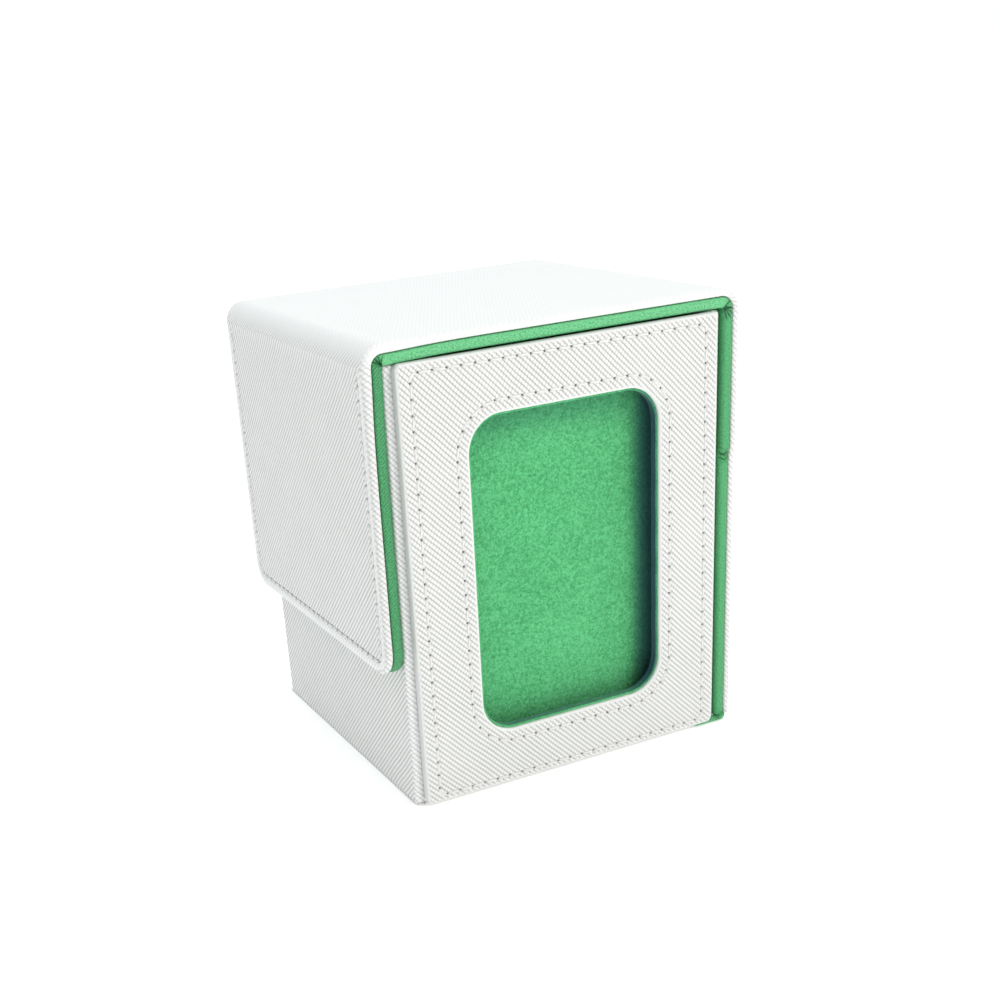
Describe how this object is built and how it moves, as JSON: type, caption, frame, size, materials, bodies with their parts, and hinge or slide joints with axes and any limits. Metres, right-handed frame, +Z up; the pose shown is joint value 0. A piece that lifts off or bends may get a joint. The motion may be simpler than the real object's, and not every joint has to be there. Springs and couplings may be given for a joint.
{
  "type": "card deck box",
  "caption": "Upright card box with a display window in front, a wrapped lid with a hanging magnetic flap that opens on three soft folds, and loose dividers inside.",
  "frame": {"origin": "middle of the base, on the surface that the box stands on", "axes": "+Z up, -Y out of the display window, -X out of the flap's face, +X towards the side that the lid folds over"},
  "size_m": [0.0914, 0.0834, 0.104],
  "materials": {
    "white_leatherette": "white cross-grain leatherette, semi-matt",
    "green_lining": "green matt microfibre lining",
    "stiff_board": "grey board, uncoated",
    "white_thread": "white sewing thread",
    "magnet": "plated disc magnet",
    "black_sheet": "black satin plastic sheet"
  },
  "bodies": {
    "case": {"base_board": "stiff_board", "left_wall_board": "stiff_board", "right_wall_board": "stiff_board", "back_wall_board": "stiff_board", "front_wall_board": "stiff_board", "wall_magnet_front": "magnet", "wall_magnet_back": "magnet", "wall_cover": "white_leatherette", "base_cover": "white_leatherette", "compartment_lining": "green_lining", "pocket_lining": "green_lining", "window_cover": "white_leatherette", "window_board": "stiff_board", "window_backing": "green_lining", "panel_thread": "white_thread", "window_thread": "white_thread", "lower_side_cover": "white_leatherette", "lower_side_board": "stiff_board", "lower_side_lining": "green_lining"},
    "side_panel": {"side_fold_cover": "white_leatherette", "side_fold_lining": "green_lining", "upper_side_cover": "white_leatherette", "upper_side_board": "stiff_board", "upper_side_lining": "green_lining"},
    "top_panel": {"top_fold_cover": "white_leatherette", "top_fold_lining": "green_lining", "top_cover": "white_leatherette", "top_board": "stiff_board", "top_lining": "green_lining"},
    "flap": {"flap_fold_cover": "white_leatherette", "flap_fold_lining": "green_lining", "flap_cover": "white_leatherette", "flap_board": "stiff_board", "flap_lining": "green_lining", "flap_magnet_front": "magnet", "flap_magnet_back": "magnet", "flap_thread": "white_thread"},
    "front_divider": {"front_divider": "black_sheet"},
    "rear_divider": {"rear_divider": "black_sheet"}
  },
  "joints": [
    {"name": "top_fold", "type": "hinge", "parent": "side_panel", "child": "top_panel", "pos_m": [0.0441, 0, 0.1024], "axis": [0, 1, 0], "range_deg": [0, 120], "deforming": ["top_fold_cover", "top_fold_lining"]},
    {"name": "side_fold", "type": "hinge", "parent": "case", "child": "side_panel", "pos_m": [0.0449, 0, 0.0675], "axis": [0, 1, 0], "range_deg": [0, 60], "deforming": ["side_fold_cover", "side_fold_lining"]},
    {"name": "flap_fold", "type": "hinge", "parent": "top_panel", "child": "flap", "pos_m": [-0.0441, 0, 0.1024], "axis": [0, 1, 0], "range_deg": [0, 90], "deforming": ["flap_fold_cover", "flap_fold_lining"]},
    {"name": "front_divider_slide", "type": "slide", "parent": "case", "child": "front_divider", "axis": [0, 1, 0], "range_m": [-0.02, 0.01]},
    {"name": "rear_divider_slide", "type": "slide", "parent": "case", "child": "rear_divider", "axis": [0, 1, 0], "range_m": [-0.009, 0.02]}
  ],
  "couplings": [
    {"joint": "side_fold", "follows": "top_fold", "ratio": 0.5}
  ]
}
